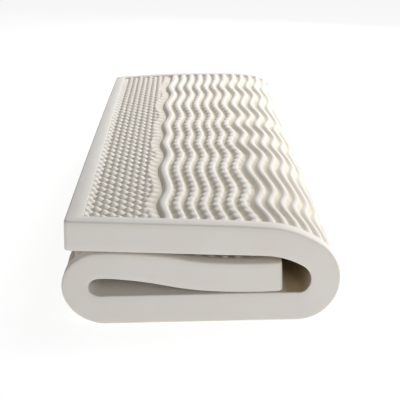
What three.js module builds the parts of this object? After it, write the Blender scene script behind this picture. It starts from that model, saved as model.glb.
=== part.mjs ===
// A moulded latex mattress, folded in three across its length and lying on the floor.
// It is one piece of foam. Its embossed face is outside all the way along the fold:
// the top layer, the wide bend at the right, the base, the tight bend at the left, and
// the middle layer, whose end lies inside the wide bend.
//
// X runs along the folded length, Y along the mattress's width from the front edge to
// the back edge, and Z is up. The origin is on the floor under the middle of the part.

import * as THREE from "three";

// Sizes of the flat mattress, in millimetres.
const WIDTH = 1800;
const THICKNESS = 80;
const CORNER = 12; // the bevel of its four upright corners

// The smooth border all round the embossed field, and the step at its inner edge.
const BORDER = 40;
const STEP = 6;

// The rows of nubs next to the top layer's end, here as low straight ribs.
const NUB_FIRST = 58;
const NUB_PITCH = 21.5;
const NUB_ROWS = 8;
const NUB_DEPTH = 8;

// The wavy ridges: where each group starts along the outer face, and its spacing.
const RIDGE_GROUPS = [
  { first: 243, pitch: 35.8, count: 7 },
  { first: 499, pitch: 36.8, count: 15 },
  { first: 1456, pitch: 36.8, count: 7 },
];
const RIDGE_DEPTH = 10;
const RIDGE_CREST = 12;

// The plain columns on hidden stretches of the outer face: on the floor and on the
// middle layer, where another layer covers it.
const PLAIN_STRETCHES = [
  { from: 1050, to: 1430, step: 95 },
  { from: 1720, to: 2190, step: 42 },
];

// The wave that all the ridges share: its shift along the length at each place across
// the width. Between the rows it swings smoothly.
const WAVE = [
  { y: 46, shift: 14 },
  { y: 154, shift: -1 },
  { y: 266, shift: 12 },
  { y: 452, shift: -5 },
  { y: 582, shift: 10 },
  { y: 710, shift: -6 },
  { y: 810, shift: 4 },
  { y: 930, shift: -6 },
  { y: 1055, shift: 9 },
  { y: 1215, shift: -7 },
  { y: 1400, shift: 13 },
  { y: 1525, shift: 0 },
  { y: 1677, shift: 15 },
  { y: 1754, shift: 17 },
];

// The fold, as stretches of the mid line from the top layer's end to the middle
// layer's end. Each has a length in millimetres and a turn in degrees, at the front
// edge and at the back edge. thick is the foam's thickness at the stretch's end as a
// share of THICKNESS, because the bends squeeze it. setBack is how far the front edge
// has slid back there. A turn of null is the one that brings the base level.
const START = { frontX: -5, backX: -9, frontHeading: -1.9, backHeading: 5 };
const STRETCHES = [
  { name: "top", front: [408, 0], back: [464, -5], thick: 1, setBack: 0 },
  { name: "slope", front: [100, -1], back: [120, -5.6], thick: 0.97, setBack: 0 },
  { name: "shoulder", front: [130, -31], back: [89, -62], thick: 0.94, setBack: 5 },
  { name: "cheek", front: [150, -103.4], back: [133, -71], thick: 0.95, setBack: 13 },
  { name: "chin", front: [50, null], back: [85, null], thick: 1, setBack: 17 },
  { name: "base", front: [502, 0], back: [462, 0], thick: 1, setBack: -2 },
  { name: "heel low", front: [70, -54], back: [60, -60], thick: 0.86, setBack: -1 },
  { name: "heel back", front: [80, -82], back: [70, -84], thick: 0.86, setBack: 0 },
  { name: "heel top", front: [50, -42], back: [50, -38], thick: 0.88, setBack: 0 },
  { name: "hump", front: [60, -7.3], back: [60, -0.6], thick: 0.9, setBack: 0 },
  { name: "dip", front: [130, -7], back: [130, -3.9], thick: 1, setBack: 8 },
  { name: "landing", front: [110, 8.1], back: [100, 4.8], thick: 1, setBack: 12 },
  { name: "sole", front: [175, 7.2], back: [180, 3.3], thick: 1, setBack: 18 },
];

// How much further along than the front edge's measure the embossed field sits inside
// its border, because the free end isn't quite square to it.
const FIELD_LEAD = { front: 5, back: -2 };

// How finely the mid line is stepped. The plain inner face has its columns closer
// together on the stretches that turn by more than BENT_TURN degrees.
const LINE_STEP = 5;
const INNER_STEP = 45;
const INNER_BEND_STEP = 15;
const BENT_TURN = 20;
const INNER_ROWS = 6;

const { lerp, degToRad, clamp } = THREE.MathUtils;

// The shift of the wave at a place across the width.
function waveShift(y) {
  const at = clamp(y, WAVE[0].y, WAVE[WAVE.length - 1].y);
  const next = Math.max(1, WAVE.findIndex((row) => row.y >= at));
  const a = WAVE[next - 1];
  const b = WAVE[next];
  const swing = (1 - Math.cos(((at - a.y) / (b.y - a.y)) * Math.PI)) / 2;
  return lerp(a.shift, b.shift, swing);
}

// The turn of each stretch at a depth from 0 at the front to 1 at the back.
function turnsAt(depth) {
  const heading = lerp(START.frontHeading, START.backHeading, depth);
  const closing = STRETCHES.findIndex((s) => s.front[1] === null);
  const turns = STRETCHES.map((s) => lerp(s.front[1] ?? 0, s.back[1] ?? 0, depth));
  const before = turns.slice(0, closing).reduce((sum, t) => sum + t, 0);
  turns[closing] = -180 - heading - before;
  return turns;
}

// The mid line at a depth: places with the normal, the thickness, the set back, the
// length s along the mid line and the length u along the outer face.
function foldLine(depth) {
  const turns = turnsAt(depth);
  let heading = degToRad(lerp(START.frontHeading, START.backHeading, depth));
  let x = lerp(START.frontX, START.backX, depth);
  let z = 0;
  let s = 0;
  let thick = STRETCHES[0].thick;
  let setBack = 0;
  const line = [];
  const note = (stretchThick, back) =>
    line.push({
      x,
      z,
      s,
      nx: -Math.sin(heading),
      nz: Math.cos(heading),
      half: (stretchThick * THICKNESS) / 2,
      setBack: back,
      u: 0,
    });
  note(thick, 0);
  let floorStation = null;
  STRETCHES.forEach((stretch, i) => {
    const length = lerp(stretch.front[0], stretch.back[0], depth);
    const steps = Math.ceil(length / LINE_STEP);
    const turn = degToRad(turns[i]) / steps;
    const arc = length / steps;
    const chord = turn === 0 ? arc : (arc * Math.sin(turn / 2)) / (turn / 2);
    for (let k = 1; k <= steps; k++) {
      x += chord * Math.cos(heading + turn / 2);
      z += chord * Math.sin(heading + turn / 2);
      heading += turn;
      s += arc;
      note(
        lerp(thick, stretch.thick, k / steps),
        lerp(setBack, stretch.setBack, k / steps),
      );
    }
    thick = stretch.thick;
    setBack = stretch.setBack;
    if (stretch.name === "base") floorStation = line[line.length - 1];
  });
  const lift = floorStation.half - floorStation.z;
  line.forEach((p) => (p.z += lift));
  for (let k = 1; k < line.length; k++) {
    const a = offset(line[k - 1], line[k - 1].half);
    const b = offset(line[k], line[k].half);
    line[k].u = line[k - 1].u + Math.hypot(b.x - a.x, b.z - a.z);
  }
  return line;
}

// A point at a distance from the mid line, outwards when positive.
function offset(p, distance) {
  return { x: p.x + p.nx * distance, z: p.z + p.nz * distance };
}

// The place on a mid line where its key, "s" or "u", has a value.
function placeAt(line, key, value) {
  const wanted = clamp(value, 0, line[line.length - 1][key]);
  let next = line.findIndex((p) => p[key] >= wanted);
  next = Math.max(next, 1);
  const a = line[next - 1];
  const b = line[next];
  const share = (wanted - a[key]) / (b[key] - a[key]);
  const place = {};
  for (const name of Object.keys(a)) place[name] = lerp(a[name], b[name], share);
  return place;
}

// The rows across the width: the edges, the border's step, and the wave's turning
// points with a row halfway between them.
function rowPlaces() {
  const rows = [0, CORNER, BORDER];
  WAVE.forEach((row, i) => {
    if (i > 0) rows.push((WAVE[i - 1].y + row.y) / 2);
    rows.push(row.y);
  });
  rows.push(WIDTH - BORDER, WIDTH - CORNER, WIDTH);
  return rows;
}

// The columns along the outer face: u, the relief there and whether the wave moves it.
function columnPlaces(total) {
  const columns = [
    { u: 0, relief: 0, wave: 0 },
    { u: BORDER, relief: 0, wave: 0 },
    { u: BORDER + STEP, relief: -NUB_DEPTH, wave: 0 },
  ];
  for (let i = 0; i < NUB_ROWS; i++) {
    const crest = NUB_FIRST + i * NUB_PITCH;
    if (i > 0) columns.push({ u: crest - NUB_PITCH / 2, relief: -NUB_DEPTH, wave: 0 });
    columns.push({ u: crest, relief: 0, wave: 0 });
  }
  for (const group of RIDGE_GROUPS) {
    for (let i = 0; i < group.count; i++) {
      const crest = group.first + i * group.pitch;
      const trough = crest - group.pitch / 2;
      columns.push({ u: trough, relief: -RIDGE_DEPTH, wave: 1 });
      columns.push({ u: crest - RIDGE_CREST / 2, relief: 0, wave: 1 });
      columns.push({ u: crest + RIDGE_CREST / 2, relief: 0, wave: 1 });
    }
    const last = group.first + (group.count - 0.5) * group.pitch;
    columns.push({ u: last, relief: -RIDGE_DEPTH, wave: 1 });
  }
  for (const plain of PLAIN_STRETCHES) {
    const steps = Math.round((plain.to - plain.from) / plain.step);
    for (let k = 0; k <= steps; k++) {
      columns.push({ u: lerp(plain.from, plain.to, k / steps), relief: 0, wave: 0 });
    }
  }
  columns.push({ u: total - BORDER / 2, relief: 0, wave: 0 });
  columns.push({ u: total, relief: 0, wave: 0 });
  return columns.sort((a, b) => a.u - b.u);
}

// The columns along the plain inner face, as lengths along the front's mid line.
function innerPlaces() {
  const places = [0];
  for (const stretch of STRETCHES) {
    const [length, turn] = stretch.front;
    const bent = turn === null || Math.abs(turn) > BENT_TURN;
    const steps = Math.ceil(length / (bent ? INNER_BEND_STEP : INNER_STEP));
    const from = places[places.length - 1];
    for (let k = 1; k <= steps; k++) places.push(from + (length * k) / steps);
  }
  return places;
}

// How far a column inside the border is moved along at a place across the width.
function fieldLead(column, y) {
  const inside = column.u >= BORDER && column.u <= frontTotal - BORDER;
  return inside ? lerp(FIELD_LEAD.front, FIELD_LEAD.back, y / WIDTH) : 0;
}

// The distance that the bevelled corner takes off each end of a row.
function cornerCut(y) {
  return Math.max(0, CORNER - Math.min(y, WIDTH - y));
}

const positions = [];
function addVertex(point, y, setBack) {
  positions.push(point.x, y + setBack, point.z);
  return positions.length / 3 - 1;
}

const triangles = [];
function addQuad(a, b, c, d) {
  triangles.push(a, b, c, a, c, d);
}

// The faces between two edges that run side by side, each an array of
// { at, vertex } in rising order of at.
function zipEdges(left, right) {
  let i = 0;
  let j = 0;
  while (i < left.length - 1 || j < right.length - 1) {
    const leftNext = i < left.length - 1 ? left[i + 1].at : Infinity;
    const rightNext = j < right.length - 1 ? right[j + 1].at : Infinity;
    if (leftNext <= rightNext) {
      triangles.push(left[i].vertex, left[i + 1].vertex, right[j].vertex);
      i++;
    } else {
      triangles.push(left[i].vertex, right[j + 1].vertex, right[j].vertex);
      j++;
    }
  }
}

// The embossed outer face.
const rows = rowPlaces();
const lines = rows.map((y) => foldLine(y / WIDTH));
const frontTotal = lines[0][lines[0].length - 1].u;
const columns = columnPlaces(frontTotal);
const outer = rows.map((y, r) => {
  const line = lines[r];
  const total = line[line.length - 1].u;
  const inField = y > BORDER && y < WIDTH - BORDER;
  return columns.map((column, c) => {
    let u = (column.u * total) / frontTotal;
    if (c === 0) u += cornerCut(y);
    if (c === columns.length - 1) u -= cornerCut(y);
    const nearEdge = y === 0 || y === WIDTH;
    u += nearEdge ? 0 : column.wave * waveShift(y);
    u += fieldLead(column, y);
    const place = placeAt(line, "u", u);
    const relief = inField ? column.relief : 0;
    const point = offset(place, place.half + relief);
    return { at: place.s, vertex: addVertex(point, y, place.setBack) };
  });
});

// The plain inner face, in fewer rows and columns.
const middleRows = Array.from({ length: INNER_ROWS - 1 }, (_, k) => {
  const wanted = (WIDTH * (k + 1)) / INNER_ROWS;
  return rows.reduce((a, b) => (Math.abs(b - wanted) < Math.abs(a - wanted) ? b : a));
});
const innerRows = [0, CORNER, ...middleRows, WIDTH - CORNER, WIDTH];
const innerColumns = innerPlaces();
const frontLength = innerColumns[innerColumns.length - 1];
const inner = innerRows.map((y) => {
  const line = lines[rows.indexOf(y)];
  const total = line[line.length - 1].s;
  return innerColumns.map((column, c) => {
    let s = (column * total) / frontLength;
    if (c === 0) s += cornerCut(y);
    if (c === innerColumns.length - 1) s -= cornerCut(y);
    const place = placeAt(line, "s", s);
    return { at: s, vertex: addVertex(offset(place, -place.half), y, place.setBack) };
  });
});

// The faces of both grids.
for (let r = 1; r < outer.length; r++) {
  for (let c = 1; c < columns.length; c++) {
    const [a, b] = [outer[r - 1][c - 1], outer[r - 1][c]];
    const [d, e] = [outer[r][c - 1], outer[r][c]];
    addQuad(a.vertex, b.vertex, e.vertex, d.vertex);
  }
}
for (let r = 1; r < inner.length; r++) {
  for (let c = 1; c < innerColumns.length; c++) {
    const [a, b] = [inner[r - 1][c - 1], inner[r - 1][c]];
    const [d, e] = [inner[r][c - 1], inner[r][c]];
    addQuad(a.vertex, d.vertex, e.vertex, b.vertex);
  }
}

// The front and back walls, and the mattress's two ends.
const last = columns.length - 1;
const innerLast = innerColumns.length - 1;
const edge = (grid, places, c) =>
  grid.map((row, r) => ({ at: places[r], vertex: row[c].vertex }));
zipEdges(inner[0], outer[0]);
zipEdges(outer[outer.length - 1], inner[inner.length - 1]);
zipEdges(edge(outer, rows, 0), edge(inner, innerRows, 0));
zipEdges(edge(inner, innerRows, innerLast), edge(outer, rows, last));

const geometry = new THREE.BufferGeometry();
geometry.setAttribute("position", new THREE.Float32BufferAttribute(positions, 3));
geometry.setIndex(triangles);
geometry.computeBoundingBox();
const box = geometry.boundingBox;
geometry.translate(-(box.min.x + box.max.x) / 2, -(box.min.y + box.max.y) / 2, 0);
geometry.computeVertexNormals();

const latex = new THREE.MeshStandardMaterial({
  color: 0xe8e2d6,
  roughness: 0.85,
  metalness: 0,
});
const mattress = new THREE.Mesh(geometry, latex);
mattress.name = "mattress";

const part = new THREE.Group();
part.add(mattress);

export default part;
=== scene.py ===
"""A moulded latex mattress, folded in three across its length and lying on the floor.

The foam is one piece. A core holds its walls, its smooth border and its plain inner
face, and panels of relief fill the field inside the border: domed nubs next to the
free end, then rope ridges, then smooth wavy ridges round the bends.
"""

import math

import bmesh
import bpy
import numpy as np
from mathutils import Matrix, Vector


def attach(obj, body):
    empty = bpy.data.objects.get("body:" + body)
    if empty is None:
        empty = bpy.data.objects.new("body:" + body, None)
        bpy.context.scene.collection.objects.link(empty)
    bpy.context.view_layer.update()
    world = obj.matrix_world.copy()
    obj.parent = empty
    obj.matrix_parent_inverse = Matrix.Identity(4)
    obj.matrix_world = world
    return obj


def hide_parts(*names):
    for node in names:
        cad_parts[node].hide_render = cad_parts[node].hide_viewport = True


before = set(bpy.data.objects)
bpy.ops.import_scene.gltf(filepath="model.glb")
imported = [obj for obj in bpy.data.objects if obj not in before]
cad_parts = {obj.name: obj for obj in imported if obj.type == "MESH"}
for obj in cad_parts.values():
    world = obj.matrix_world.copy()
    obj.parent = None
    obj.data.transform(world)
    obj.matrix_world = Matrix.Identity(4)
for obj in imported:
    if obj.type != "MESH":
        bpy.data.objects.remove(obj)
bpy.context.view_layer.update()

MM = 0.001

# Sizes of the flat mattress, in millimetres.
WIDTH = 1800.0
THICKNESS = 80.0
CORNER = 12.0
BORDER = 40.0

# The rounds along the outer and inner edges, with their steps, and the smaller round
# along the border's inner edge.
OUTER_EDGE = 5.0
INNER_EDGE = 3.0
EDGE_STEPS = 4
BORDER_ROUND = 1.0

# The recess in the core that the panels of relief fill: its depth and how far its
# wall leans. The panels reach a little below its floor and into its wall.
RECESS = 15.0
WALL_LEAN = 0.8
ROOT = 2.0
TUCK = 1.0

# The nubs next to the free end: their columns along the length and their pitch
# across the width. Every second column is half a pitch further back. A nub's dome
# has fallen by NUB_HEIGHT at NUB_RADIUS from its middle, and NUB_FLOOR is as low as
# the valleys go.
NUB_FIRST = 47.0
NUB_COLUMN_PITCH = 20.75
NUB_COLUMNS = 8
NUB_PITCH = 39.0
NUB_START = 50.0
NUB_RADIUS = 16.0
NUB_HEIGHT = 12.0
NUB_STRETCH = 1.05
NUB_FLOOR = 13.0

# The fillet that joins the border to the first column of nubs: its drop at the
# border's inner edge and how steeply it curves down from there.
FILLET_DROP = 1.5
FILLET_CURVE = 0.05

# The nubs, ribs and teeth lie a little further apart towards the back.
EASE_FROM = 250.0
EASE = 0.00217

# The bank between the nubs and the first ridge: its places along the outer face, how
# far its top lies below the border, how full its falling side is, and the depth and
# width of the hollows between its lobes, the width as a share of the ribs' pitch.
BANK_FOOT = 186.0
BANK_TOP = 198.0
BANK_END = 223.0
BANK_DROP = 2.5
BANK_FALL = 1.3
LOBE_DEPTH = 4.0
LOBE_WIDTH = 0.25

# The ridges: where each group starts along the outer face, and its spacing. The
# first of the rope ridges is a smooth one. A bulge over 1 makes a crest broader, and
# a rope's left flank reaches a little under the next rope.
RIDGE_DEPTH = 11.0
ROPE_FIRST = 241.2
ROPE_PITCH = 35.5
ROPE_COUNT = 7
ROPE_LEFT_BULGE = 3.0
ROPE_RIGHT_BULGE = 2.4
ROPE_OVERLAP = 2.0
BEND_FIRST = 494.5
BEND_PITCH = 35.7
BEND_REACH = 16.0
BEND_BULGE = 2.2

# The grooves that cut a rope into ribs: their slant, their width as a share of the
# pitch, and how far they cut into the left flank, the right flank and the crest.
# They fade to a share of that from a place left of the crest to one right of it.
RIB_PITCH = 37.0
GROOVE_SLANT = 0.4
GROOVE_WIDTH = 0.22
GROOVE_LEFT = 9.0
GROOVE_RIGHT = 8.0
GROOVE_CREST = 2.2
GROOVE_FADED = 0.45
FADE_LEFT = 8.0
FADE_RIGHT = 3.0

# The fine teeth on the right flank of the bend's ridges, three to a rib.
TEETH_PITCH = RIB_PITCH / 3
TEETH_WIDTH = 0.25
TEETH_BITE = 2.5

# The wave that the ridges share: its shift along the length at each place across
# the width. It swings wider over the bend.
WAVE = (
    (46, 14), (154, -1), (266, 12), (452, -5), (582, 10), (710, -6), (810, 4),
    (930, -6), (1055, 9), (1215, -7), (1400, 13), (1525, 0), (1677, 15), (1754, 17),
)
BEND_WAVE = (
    (55, 26), (187, -1), (290, 20), (475, -6), (600, 15), (728, -12), (835, 7),
    (950, -15), (1075, 11), (1235, -12), (1400, 11), (1540, -8), (1690, 15), (1754, 17),
)
BEND_WAVE_FROM = 360.0
BEND_WAVE_TO = 500.0

# Where the panels' columns begin to follow the wave.
FOLLOW_FROM = 190.0
FOLLOW_TO = 222.0

# The fold, as stretches of the mid line: length and turn in degrees at the front
# edge, then at the back edge, then the share of the thickness left at the stretch's
# end and how far the front edge has slid back there. A turn of None brings the base
# level.
START = {"front_x": -5.0, "back_x": -9.0, "front_heading": -1.9, "back_heading": 5.0}
STRETCHES = (
    ("top", 408, 0, 464, -5, 1.00, 0),
    ("slope", 100, -1, 120, -5.6, 0.97, 0),
    ("shoulder", 130, -31, 89, -62, 0.94, 5),
    ("cheek", 150, -103.4, 133, -71, 0.95, 13),
    ("chin", 50, None, 85, None, 1.00, 17),
    ("base", 502, 0, 462, 0, 1.00, -2),
    ("heel low", 70, -54, 60, -60, 0.86, -1),
    ("heel back", 80, -82, 70, -84, 0.86, 0),
    ("heel top", 50, -42, 50, -38, 0.88, 0),
    ("hump", 60, -7.3, 60, -0.6, 0.90, 0),
    ("dip", 130, -7, 130, -3.9, 1.00, 8),
    ("landing", 110, 8.1, 100, 4.8, 1.00, 12),
    ("sole", 175, 7.2, 180, 3.3, 1.00, 18),
)
LINE_STEP = 5.0

# How much further along than the front edge's measure the embossed field sits inside
# its border, because the free end isn't quite square to it.
FIELD_LEAD = {"front": 5.0, "back": -2.0}

# The core's mesh: the spacing of its points at the edges and on the plain walls, and
# how far in from the edges they are moved with the rounds.
EDGE_SPACING = 4.0
WALL_SPACING = 28.0
INSET_REACH = 90.0

# The panels' meshes: how far they lie below the border's level, how far a panel
# reaches under the next one and how deep it dives there, how many of its cells one
# cell of its underside covers, and how much the columns crowd on the flanks.
SINK = 0.4
LIP = 1.2
LIP_DROP = 3.0
COARSE = 6
CROWDING = 0.035

# How finely the nubs and ropes are meshed: cells to a pitch along the length and
# across the width, and the columns' spacing on the bank.
NUB_CELLS = (8, 13)
ROPE_CELLS = (12, 12)
BANK_SPACING = 2.6

# The panels of smooth ridges: the first ridge, their number, the columns to a ridge
# and the spacing of the rows across the width.
BEND_PANELS = (
    ("bend_ridges", 0, 15, 10, 3.9),
    ("floor_ridges", 15, 11, 8, 12.0),
    ("heel_ridges", 26, 9, 9, 6.0),
    ("covered_ridges", 35, 11, 8, 12.0),
)

# The depths over which the nubs' valleys darken with painted shade.
PIT_FROM = 3.5
PIT_TO = 9.0

# Where the inner face lines the wide bend's loop, as places along the outer face, and how
# softly the painted shade there begins and ends.
LOOP_FROM = 560.0
LOOP_TO = 1000.0
LOOP_FADE = 30.0

# The foam's colours: a cream with faint clouds, a warmer, darker cream painted into the
# troughs as shade, and a brown painted inside the wide bend's loop as its shade.
CREAM = (0.85, 0.81, 0.765)
CREAM_CLOUD = (0.82, 0.775, 0.725)
TROUGH_SHADE_CREAM = (0.80, 0.74, 0.62)
LOOP_SHADE_BROWN = (0.58, 0.48, 0.33)

# The soft lights: name, place, aim, size in metres and power in watts.
SOFTBOXES = (
    ("right_softbox", (4.0, -0.2, 1.6), (0, 0, 0.2), 1.6, 92),
    ("back_softbox", (1.0, 3.4, 1.7), (0, 0.4, 0.2), 1.4, 80),
    ("top_softbox", (1.2, 0.8, 3.0), (0, 0.3, 0.2), 1.6, 38),
    ("front_softbox", (1.2, -3.4, 1.2), (0.1, -0.9, 0.2), 1.4, 15),
)
SKY_GLOW = 0.15

# The floor: half its width in metres, and its grey and its glow, which make it pale.
FLOOR_REACH = 15
FLOOR_GREY = 0.25
FLOOR_GLOW = 0.88

# The camera, in metres and degrees.
CAMERA_PLACE = (-0.0220, -2.9713, 1.0903)
CAMERA_PITCH = 19.94
CAMERA_YAW = 0.52
CAMERA_LENS = 79.96
CAMERA_SENSOR = 36


def mix(a, b, share):
    return a + (b - a) * share


def smooth(x, low, high):
    """0 below low, 1 above high, and a soft S between them."""
    t = np.clip((x - low) / (high - low), 0, 1)
    return t * t * (3 - 2 * t)


def swing(table, y):
    """A wave's shift at places across the width, from the table of its turns."""
    places, shifts = np.array(table, float).T
    at = np.clip(y, places[0], places[-1])
    k = np.clip(np.searchsorted(places, at, side="right") - 1, 0, len(table) - 2)
    share = (1 - np.cos((at - places[k]) / (places[k + 1] - places[k]) * np.pi)) / 2
    return mix(shifts[k], shifts[k + 1], share)


def eased(y):
    """The place across the width by the measure that the nubs, ribs and teeth share."""
    return y - EASE * np.maximum(y - EASE_FROM, 0) ** 1.5


def wave_shift(c, y):
    """How far the wave moves a ridge's column along the length, across the width."""
    return mix(swing(WAVE, y), swing(BEND_WAVE, y), smooth(c, BEND_WAVE_FROM, BEND_WAVE_TO))


# The fold.

def fold_lines(y):
    """The fold's mid line at places across the width: each value is stations x places."""
    depth = y / WIDTH
    heading = np.radians(mix(START["front_heading"], START["back_heading"], depth))
    turns = [mix(row[2] or 0, row[4] or 0, depth) for row in STRETCHES]
    closing = next(k for k, row in enumerate(STRETCHES) if row[2] is None)
    turns[closing] = -180 - np.degrees(heading) - sum(turns[:closing])
    x = mix(START["front_x"], START["back_x"], depth)
    z = np.zeros_like(y)
    thick, set_back = STRETCHES[0][5], 0.0
    line = {name: [] for name in ("x", "z", "nx", "nz", "half", "set_back")}

    def note(share, back):
        values = (x, z, -np.sin(heading), np.cos(heading),
                  np.full_like(y, share * THICKNESS / 2), np.full_like(y, back))
        for name, value in zip(line, values):
            line[name].append(value)

    note(thick, set_back)
    for (name, front, _, back, _, end_thick, end_back), turned in zip(STRETCHES, turns):
        steps = math.ceil(max(front, back) / LINE_STEP)
        turn = np.radians(turned) / steps
        arc = mix(front, back, depth) / steps
        chord = arc * np.sinc(turn / 2 / np.pi)
        for k in range(1, steps + 1):
            x = x + chord * np.cos(heading + turn / 2)
            z = z + chord * np.sin(heading + turn / 2)
            heading = heading + turn
            share = k / steps
            note(mix(thick, end_thick, share), mix(set_back, end_back, share))
        thick, set_back = end_thick, end_back
        if name == "base":
            floor = len(line["x"]) - 1
    line = {name: np.array(values) for name, values in line.items()}
    line["z"] += line["half"][floor] - line["z"][floor]
    outer_x = line["x"] + line["nx"] * line["half"]
    outer_z = line["z"] + line["nz"] * line["half"]
    steps = np.hypot(np.diff(outer_x, axis=0), np.diff(outer_z, axis=0))
    line["u"] = np.vstack([np.zeros_like(y), np.cumsum(steps, axis=0)])
    return line


FRONT_TOTAL = float(fold_lines(np.zeros(1))["u"][-1, 0])


def on_fold(u, y, side, rise, shift=0.0):
    """Points of the folded mattress. u is the place along the flat outer face and y
    the place across the width. side is 1 on the outer face and -1 on the inner one,
    rise is millimetres outwards from there, and shift moves the point along."""
    u, y, side, rise, shift = np.broadcast_arrays(*map(np.asarray, (u, y, side, rise, shift)))
    places, group = np.unique(np.round(y, 4), return_inverse=True)
    lines = fold_lines(places)
    points = np.empty((len(u), 3))
    order = np.argsort(group.ravel(), kind="stable")
    bounds = np.searchsorted(group.ravel()[order], np.arange(len(places) + 1))
    for k in range(len(places)):
        who = order[bounds[k]:bounds[k + 1]]
        along = lines["u"][:, k]
        inside = smooth(u[who], 0, BORDER) * smooth(FRONT_TOTAL - u[who], 0, 3 * BORDER)
        lead = mix(FIELD_LEAD["front"], FIELD_LEAD["back"], places[k] / WIDTH)
        at = u[who] * along[-1] / FRONT_TOTAL + shift[who] + lead * inside
        x, z, nx, nz, half, back = (
            np.interp(at, along, lines[name][:, k])
            for name in ("x", "z", "nx", "nz", "half", "set_back"))
        out = half * side[who] + rise[who]
        points[who] = np.stack([x + nx * out, y[who] + back, z + nz * out], axis=1)
    return points


# Blanks: closed forms in index space, where x counts columns and y counts rows.

def add_grid(bm, columns, rows, z, cell=1):
    """Adds a flat grid at z, with its first corner over the origin."""
    place = Matrix.Translation((columns * cell / 2, rows * cell / 2, z))
    size = Matrix.Diagonal((columns * cell, rows * cell, 1, 1))
    bmesh.ops.create_grid(bm, x_segments=columns, y_segments=rows, size=0.5,
                          matrix=place @ size)


def rim_edges(bm, low):
    """The boundary edges that lie above low."""
    return [e for e in bm.edges if e.is_boundary and all(v.co.z > low for v in e.verts)]


def extrude_rim(bm, rim, z):
    """Extrudes boundary edges and puts the new ones at z."""
    made = bmesh.ops.extrude_edge_only(bm, edges=rim)["geom"]
    fresh = {v for v in made if isinstance(v, bmesh.types.BMVert)}
    for v in fresh:
        v.co.z = z
    return [e for e in made if isinstance(e, bmesh.types.BMEdge) and set(e.verts) <= fresh]


def slab_blank(columns, rows, levels):
    """An inner face, levels of wall round it, and the recess's floor that closes it."""
    bm = bmesh.new()
    add_grid(bm, columns, rows, 0)
    rim = rim_edges(bm, -1)
    for k in range(1, levels):
        rim = extrude_rim(bm, rim, k)
    add_grid(bm, columns, rows, levels - 1)
    return bm


def panel_blank(columns, rows, coarse):
    """A fine face at z=1, a coarse one at z=0 and a skirt that joins them."""
    bm = bmesh.new()
    add_grid(bm, columns // coarse, rows // coarse, 0, cell=coarse)
    bmesh.ops.subdivide_edges(bm, edges=rim_edges(bm, -1), cuts=coarse - 1)
    add_grid(bm, columns, rows, 1)
    extrude_rim(bm, rim_edges(bm, 0.5), 0)
    return bm


def finish_blank(bm, name):
    """Welds a blank and gives it as a mesh with its index space places."""
    bmesh.ops.remove_doubles(bm, verts=bm.verts, dist=0.01)
    bmesh.ops.recalc_face_normals(bm, faces=bm.faces)
    mesh = bpy.data.meshes.new(name)
    bm.to_mesh(mesh)
    bm.free()
    places = np.empty(len(mesh.vertices) * 3, np.float32)
    mesh.vertices.foreach_get("co", places)
    return mesh, places.reshape(-1, 3).astype(float)


def set_points(mesh, points):
    """Moves a mesh's points to places in millimetres."""
    mesh.vertices.foreach_set("co", (points * MM).astype(np.float32).ravel())
    mesh.update()


def add_piece(mesh, depth, material):
    """Adds a piece of the mattress's foam. depth sets its painted shade: 0 on a crest, 1 in a
    trough and 2 inside the wide bend's loop."""
    piece = bpy.data.objects.new(mesh.name, mesh)
    bpy.context.scene.collection.objects.link(piece)
    mesh.materials.append(material)
    mesh.polygons.foreach_set("use_smooth", np.ones(len(mesh.polygons), bool))
    layer = mesh.attributes.new("depth", "FLOAT", "POINT")
    layer.data.foreach_set("value", depth.astype(np.float32))
    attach(piece, "root")
    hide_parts("mattress")


# The core.

def core_profile():
    """From the inner face round the wall to the recess's floor: rows of the inset from
    the mattress's edge, the side and the rise."""
    rows = []
    for k in range(EDGE_STEPS + 1):
        a = math.radians(90 * k / EDGE_STEPS)
        rows.append((INNER_EDGE * (1 - math.sin(a)), -1, INNER_EDGE * (1 - math.cos(a))))
    rows += [(0, -0.5, 0), (0, 0, 0), (0, 0.5, 0)]
    for k in range(EDGE_STEPS + 1):
        a = math.radians(90 * k / EDGE_STEPS)
        rows.append((OUTER_EDGE * (1 - math.cos(a)), 1, -OUTER_EDGE * (1 - math.sin(a))))
    rows += [
        (BORDER / 2, 1, 0),
        (BORDER - BORDER_ROUND, 1, 0),
        (BORDER - 0.3 * BORDER_ROUND, 1, -0.3 * BORDER_ROUND),
        (BORDER, 1, -BORDER_ROUND),
        (BORDER + WALL_LEAN, 1, -RECESS),
    ]
    return np.array(rows)


def steps_between(marks):
    """Places from (place, spacing up to the next place) pairs. The last pair's spacing
    isn't used."""
    places = []
    for (a, spacing), (b, _) in zip(marks, marks[1:]):
        count = max(1, round((b - a) / spacing))
        places += list(np.linspace(a, b, count, endpoint=False))
    return np.array(places + [marks[-1][0]])


def inset_place(place, total, inset):
    """A place moved in by the inset at either end, and left alone in the middle."""
    near = np.clip(1 - place / INSET_REACH, 0, 1)
    far = np.clip(1 - (total - place) / INSET_REACH, 0, 1)
    return place + inset * (near - far)


def round_corners(u, y, inset, rim):
    """Puts the rim's points near the four corners on their round."""
    radius = CORNER - inset
    round_u = u.copy()
    round_y = y.copy()
    for u_far in (False, True):
        for y_far in (False, True):
            a = FRONT_TOTAL - u if u_far else u
            b = WIDTH - y if y_far else y
            for this, other in ((a, b), (b, a)):
                run = this - inset
                hit = rim & (radius > 0) & (other - inset < 1e-6) & (run < radius)
                angle = np.radians(45 + 45 * run[hit] / radius[hit])
                this_to = inset[hit] + radius[hit] * (1 - np.cos(angle))
                other_to = inset[hit] + radius[hit] * (1 - np.sin(angle))
                to_u, to_y = (this_to, other_to) if this is a else (other_to, this_to)
                round_u[hit] = FRONT_TOTAL - to_u if u_far else to_u
                round_y[hit] = WIDTH - to_y if y_far else to_y
    return round_u, round_y


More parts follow.
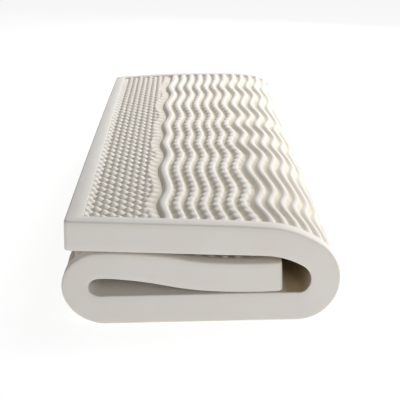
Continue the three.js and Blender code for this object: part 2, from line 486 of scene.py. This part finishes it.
def make_core(material):
    """Makes the core and gives the point that the whole mattress is centred on. Its
    columns lie closer together round the two bends."""
    columns = steps_between([
        (0, EDGE_SPACING), (CORNER, WALL_SPACING), (460, 11), (640, 7), (1010, 30), (1440, 7),
        (1700, 24), (FRONT_TOTAL - CORNER, EDGE_SPACING), (FRONT_TOTAL, 0)])
    rows = steps_between([
        (0, EDGE_SPACING), (CORNER, WALL_SPACING), (60, 80), (WIDTH - 60, WALL_SPACING),
        (WIDTH - CORNER, EDGE_SPACING), (WIDTH, 0)])
    profile = core_profile()
    bm = slab_blank(len(columns) - 1, len(rows) - 1, len(profile))
    mesh, place = finish_blank(bm, "foam_core")
    i, j, k = (np.round(place[:, axis]).astype(int) for axis in range(3))
    inset, side, rise = profile[k].T
    u = inset_place(columns[i], FRONT_TOTAL, inset)
    y = inset_place(rows[j], WIDTH, inset)
    rim = (i == 0) | (i == len(columns) - 1) | (j == 0) | (j == len(rows) - 1)
    u, y = round_corners(u, y, inset, rim)
    points = on_fold(u, y, side, rise)
    low, high = points.min(axis=0), points.max(axis=0)
    middle = np.array([(low[0] + high[0]) / 2, (low[1] + high[1]) / 2, 0])
    set_points(mesh, points - middle)
    # Painted shade on the inner face inside the wide bend's loop, faded in at both ends.
    in_loop = smooth(u, LOOP_FROM - LOOP_FADE, LOOP_FROM)
    in_loop = in_loop * smooth(-u, -LOOP_TO, -LOOP_TO + LOOP_FADE)
    # Painted shade on the outer face, darker where it falls below the border's level.
    depth = np.where(side > 0, np.clip(-rise / RIDGE_DEPTH, 0, 1), 2.0 * in_loop * (k == 0))
    add_piece(mesh, depth, material)
    return middle


# The relief, as a height in millimetres over the border's level.

def notch(y, pitch, width):
    """1 in a notch that comes once a pitch and 0 between. width is a share of the
    pitch."""
    away = np.abs((eased(y) / pitch) % 1 - 0.5)
    return np.exp(-((away / width) ** 2))


def crest(across, left, right, bulge):
    """A round ridge over 0 to 1: across is measured from its crest line, left and
    right are where it meets the trough. A bulge over 1 makes its top broader."""
    t = np.clip(np.where(across < 0, across / left, across / right), -1, 1)
    return 1 - ((1 - np.cos(np.pi * t)) / 2) ** bulge


def nub_heights(u, y):
    """The field of domed nubs, which meet in sharp valleys. They are a little longer
    across the width. The bank covers most of the last column."""
    height = np.full(len(u), -NUB_FLOOR)
    even = eased(y)
    for column in range(NUB_COLUMNS):
        start = NUB_START + (column % 2) * NUB_PITCH / 2
        beside = (even - start + NUB_PITCH / 2) % NUB_PITCH - NUB_PITCH / 2
        away = np.hypot(u - NUB_FIRST - column * NUB_COLUMN_PITCH, beside / NUB_STRETCH)
        fall = NUB_HEIGHT * (away / NUB_RADIUS) ** 2
        height = np.maximum(height, -fall)
    return np.maximum(height, -FILLET_DROP - FILLET_CURVE * (u - BORDER) ** 2)


def bank_heights(v, y):
    """The smooth bank between the nubs and the first ridge, with soft lobes."""
    lobes = notch(y, RIB_PITCH, LOBE_WIDTH)
    rising = smooth(v, BANK_FOOT, BANK_TOP)
    falling = np.clip((v - BANK_TOP) / (BANK_END - BANK_TOP), 0, 1)
    form = rising * (1 - falling ** BANK_FALL)
    return -RIDGE_DEPTH + (RIDGE_DEPTH - BANK_DROP - LOBE_DEPTH * lobes) * form


def smooth_heights(across, y, reach, bulge, teeth):
    """A smooth ridge, with teeth of the given size on its right flank."""
    bite = teeth * notch(y, TEETH_PITCH, TEETH_WIDTH)
    return -RIDGE_DEPTH + RIDGE_DEPTH * crest(across, reach, reach - bite, bulge)


def rope_heights(across, y):
    """A rope ridge, which grooves cut into round ribs."""
    groove = notch(y + GROOVE_SLANT * across, RIB_PITCH, GROOVE_WIDTH)
    groove = groove * mix(GROOVE_FADED, 1, smooth(-across, -FADE_RIGHT, FADE_LEFT))
    bulge = np.where(across < 0, ROPE_LEFT_BULGE, ROPE_RIGHT_BULGE)
    left = ROPE_PITCH / 2 + ROPE_OVERLAP - GROOVE_LEFT * groove
    right = ROPE_PITCH / 2 - GROOVE_RIGHT * groove
    form = crest(across, left, right, bulge)
    return -RIDGE_DEPTH + (RIDGE_DEPTH - GROOVE_CREST * groove) * form


def nearest_ridge(v, first, pitch):
    """The number of a group's nearest ridge and the distance from its crest line."""
    number = np.round((v - first) / pitch)
    return number, v - first - number * pitch


def relief_height(u, v, y):
    """The relief at u along the face, or v once the wave is taken out, and y across."""
    height = np.maximum(np.where(v < BANK_TOP, nub_heights(u, y), -NUB_FLOOR),
                        bank_heights(v, y))
    number, across = nearest_ridge(v, ROPE_FIRST, ROPE_PITCH)
    in_rope = (v > ROPE_FIRST - ROPE_PITCH / 2) & (number < ROPE_COUNT)
    height = np.where(in_rope, rope_heights(across, y), height)
    first = smooth_heights(across, y, ROPE_PITCH / 2, ROPE_RIGHT_BULGE, 0.0)
    height = np.where(in_rope & (number == 0), first, height)
    number, across = nearest_ridge(v, BEND_FIRST, BEND_PITCH)
    in_bend = v > BEND_FIRST - BEND_PITCH / 2
    teeth = np.where(number > 0, TEETH_BITE, 0.0)
    return np.where(in_bend, smooth_heights(across, y, BEND_REACH, BEND_BULGE, teeth), height)


# The panels of relief.

# The places across the width between which the panels lie.
FIELD_LOW = BORDER + WALL_LEAN - TUCK
FIELD_HIGH = WIDTH - FIELD_LOW


def follow(c):
    """How much a column of a panel moves with the wave."""
    return smooth(c, FOLLOW_FROM, FOLLOW_TO)


def make_panel(name, columns, spacing, lips, middle, material):
    """A panel over the given columns, with its rows at a spacing. lips says whether
    its first and last columns dive under the next panel."""
    columns = padded_to(columns, COARSE)
    cells = COARSE * round((FIELD_HIGH - FIELD_LOW) / spacing / COARSE)
    rows = np.linspace(FIELD_LOW, FIELD_HIGH, cells + 1)
    bm = panel_blank(len(columns) - 1, len(rows) - 1, COARSE)
    mesh, place = finish_blank(bm, name)
    c = np.interp(place[:, 0], np.arange(len(columns)), columns)
    y = np.interp(place[:, 1], np.arange(len(rows)), rows)
    top = place[:, 2] > 0.5
    wave = wave_shift(c, y)
    shift = follow(c) * wave
    height = relief_height(c + shift, c + shift - wave, y) - SINK
    first = place[:, 0] < 0.5
    last = place[:, 0] > len(columns) - 1.5
    height[(first & lips[0]) | (last & lips[1])] -= LIP_DROP
    rise = np.where(top, height, -RECESS - ROOT)
    points = on_fold(c, y, 1.0, rise, shift)
    set_points(mesh, points - middle)
    # Painted shade: the relief darkens towards its troughs, and the nubs' valleys darken from
    # PIT_FROM to PIT_TO deep.
    depth = np.clip(-height / RIDGE_DEPTH, 0, 1)
    in_nubs = c + shift - wave < BANK_TOP
    pit_shade = np.clip((-height - PIT_FROM) / (PIT_TO - PIT_FROM), 0, 1)
    depth = np.where(in_nubs, pit_shade, depth)
    add_piece(mesh, depth, material)


def ridge_columns(first, pitch, count, per_ridge):
    """Columns over a run of ridges, closer together on their flanks."""
    t = np.linspace(-0.5, 0.5, per_ridge + 1)[:-1]
    t = t + CROWDING * np.sin(4 * np.pi * t)
    return np.concatenate([first + (n + t) * pitch for n in range(count)])


def padded_to(values, multiple):
    """The same places with a few more between the last ones, so that the number of
    gaps is a multiple."""
    gaps = len(values) - 1
    spare = (-gaps) % multiple
    if not spare:
        return values
    extra = np.linspace(values[-2], values[-1], spare + 2)[1:-1]
    return np.concatenate([values[:-1], extra, values[-1:]])


def make_relief(middle, material):
    """Makes the panels in order along the outer face, from the free end inwards."""
    rope_seam = ROPE_FIRST - ROPE_PITCH / 2
    bend_seam = BEND_FIRST - BEND_PITCH / 2

    along, across = NUB_CELLS
    nubs = steps_between([
        (FIELD_LOW, NUB_COLUMN_PITCH / along), (FOLLOW_FROM, BANK_SPACING), (rope_seam, 0)])
    nubs = np.append(nubs, rope_seam + LIP)
    make_panel("nub_field", nubs, NUB_PITCH / across, (False, True), middle, material)

    along, across = ROPE_CELLS
    ropes = ridge_columns(ROPE_FIRST, ROPE_PITCH, ROPE_COUNT, along)
    ropes = np.concatenate([[rope_seam - LIP], ropes, [bend_seam, bend_seam + LIP]])
    make_panel("rope_ridges", ropes, RIB_PITCH / across, (True, True), middle, material)

    for name, start, count, per_ridge, spacing in BEND_PANELS:
        final = name == BEND_PANELS[-1][0]
        first = BEND_FIRST + start * BEND_PITCH
        end = first + (count - 0.5) * BEND_PITCH
        bends = ridge_columns(first, BEND_PITCH, count, per_ridge)
        bends = np.concatenate([[bends[0] - LIP], bends, [end, end + LIP]])
        if final:
            bends = bends[bends < FRONT_TOTAL - FIELD_LOW - EDGE_SPACING]
            bends = np.append(bends, FRONT_TOTAL - FIELD_LOW)
        make_panel(name, bends, spacing, (True, not final), middle, material)


# The foam's finish.

def latex_material():
    """Matt cream foam, with shade painted into its colour by the depth that add_piece gives
    each point.
    """
    material = bpy.data.materials.new("latex_foam")
    material.use_nodes = True
    nodes, links = material.node_tree.nodes, material.node_tree.links
    shader = nodes["Principled BSDF"]
    shader.inputs["Roughness"].default_value = 0.78
    shader.inputs["Specular IOR Level"].default_value = 0.3

    place = nodes.new("ShaderNodeTexCoord").outputs["Object"]

    def noise(scale, detail, roughness=0.5):
        node = nodes.new("ShaderNodeTexNoise")
        node.inputs["Scale"].default_value = scale
        node.inputs["Detail"].default_value = detail
        node.inputs["Roughness"].default_value = roughness
        links.new(place, node.inputs["Vector"])
        return node.outputs["Fac"]

    def blend(amount, a, b):
        node = nodes.new("ShaderNodeMix")
        node.data_type = "RGBA"
        links.new(amount, node.inputs["Factor"])
        for name, value in (("A", a), ("B", b)):
            socket = next(s for s in node.inputs if s.name == name and s.type == "RGBA")
            if isinstance(value, tuple):
                socket.default_value = (*value, 1)
            else:
                links.new(value, socket)
        return next(s for s in node.outputs if s.type == "RGBA")

    def ramp(value, low, high, to_low=0.0, to_high=1.0):
        node = nodes.new("ShaderNodeMapRange")
        for name, number in (("From Min", low), ("From Max", high),
                             ("To Min", to_low), ("To Max", to_high)):
            node.inputs[name].default_value = number
        links.new(value, node.inputs["Value"])
        return node.outputs["Result"]

    cloudy = blend(ramp(noise(5.0, 3.0), 0.3, 0.7), CREAM_CLOUD, CREAM)
    # Painted shade: a warmer, darker cream in the troughs and the nubs' valleys.
    deep = nodes.new("ShaderNodeAttribute")
    deep.attribute_name = "depth"
    trough_shaded = blend(ramp(deep.outputs["Fac"], 0.1, 1.0, 0.0, 0.9), cloudy, TROUGH_SHADE_CREAM)
    # Painted shade: brown inside the wide bend's loop.
    loop_shaded = blend(ramp(deep.outputs["Fac"], 1.0, 2.0), trough_shaded, LOOP_SHADE_BROWN)
    links.new(loop_shaded, shader.inputs["Base Color"])

    # The fine grain of the foam's skin, over a broad unevenness.
    fine = nodes.new("ShaderNodeBump")
    fine.inputs["Strength"].default_value = 0.25
    fine.inputs["Distance"].default_value = 0.0006
    links.new(noise(900.0, 3.0, 0.6), fine.inputs["Height"])
    broad = nodes.new("ShaderNodeBump")
    broad.inputs["Strength"].default_value = 0.3
    broad.inputs["Distance"].default_value = 0.004
    links.new(noise(22.0, 2.0), broad.inputs["Height"])
    links.new(broad.outputs["Normal"], fine.inputs["Normal"])
    links.new(fine.outputs["Normal"], shader.inputs["Normal"])
    return material


# The floor, the light and the camera.

def make_floor():
    bm = bmesh.new()
    bmesh.ops.create_grid(bm, x_segments=1, y_segments=1, size=FLOOR_REACH)
    mesh = bpy.data.meshes.new("floor")
    bm.to_mesh(mesh)
    bm.free()
    floor = bpy.data.objects.new("floor", mesh)
    bpy.context.scene.collection.objects.link(floor)
    material = bpy.data.materials.new("pale_floor")
    material.use_nodes = True
    shader = material.node_tree.nodes["Principled BSDF"]
    shader.inputs["Base Color"].default_value = (FLOOR_GREY, FLOOR_GREY, FLOOR_GREY, 1)
    shader.inputs["Roughness"].default_value = 1.0
    shader.inputs["Specular IOR Level"].default_value = 0.0
    shader.inputs["Emission Color"].default_value = (1, 1, 1, 1)
    shader.inputs["Emission Strength"].default_value = FLOOR_GLOW
    mesh.materials.append(material)


def add_light(name, place, aim, size, power):
    """Adds a square soft light at a place, turned to shine at its aim."""
    data = bpy.data.lights.new(name, "AREA")
    data.shape = "SQUARE"
    data.size = size
    data.energy = power
    light = bpy.data.objects.new(name, data)
    light.location = place
    light.rotation_mode = "QUATERNION"
    light.rotation_quaternion = (Vector(place) - Vector(aim)).to_track_quat("Z", "Y")
    bpy.context.scene.collection.objects.link(light)


def make_lights():
    world = bpy.context.scene.world or bpy.data.worlds.new("studio")
    bpy.context.scene.world = world
    world.use_nodes = True
    sky = world.node_tree.nodes["Background"]
    sky.inputs["Color"].default_value = (1.0, 1.0, 1.0, 1)
    sky.inputs["Strength"].default_value = SKY_GLOW
    for softbox in SOFTBOXES:
        add_light(*softbox)
    bpy.context.scene.view_settings.view_transform = "Standard"


def make_camera():
    data = bpy.data.cameras.new("camera")
    data.lens = CAMERA_LENS
    data.sensor_width = CAMERA_SENSOR
    camera = bpy.data.objects.new("camera", data)
    camera.location = CAMERA_PLACE
    camera.rotation_euler = (math.radians(90 - CAMERA_PITCH), 0, math.radians(-CAMERA_YAW))
    bpy.context.scene.collection.objects.link(camera)
    bpy.context.scene.camera = camera


make_camera()
make_lights()
make_floor()
foam = latex_material()
centre = make_core(foam)
make_relief(centre, foam)
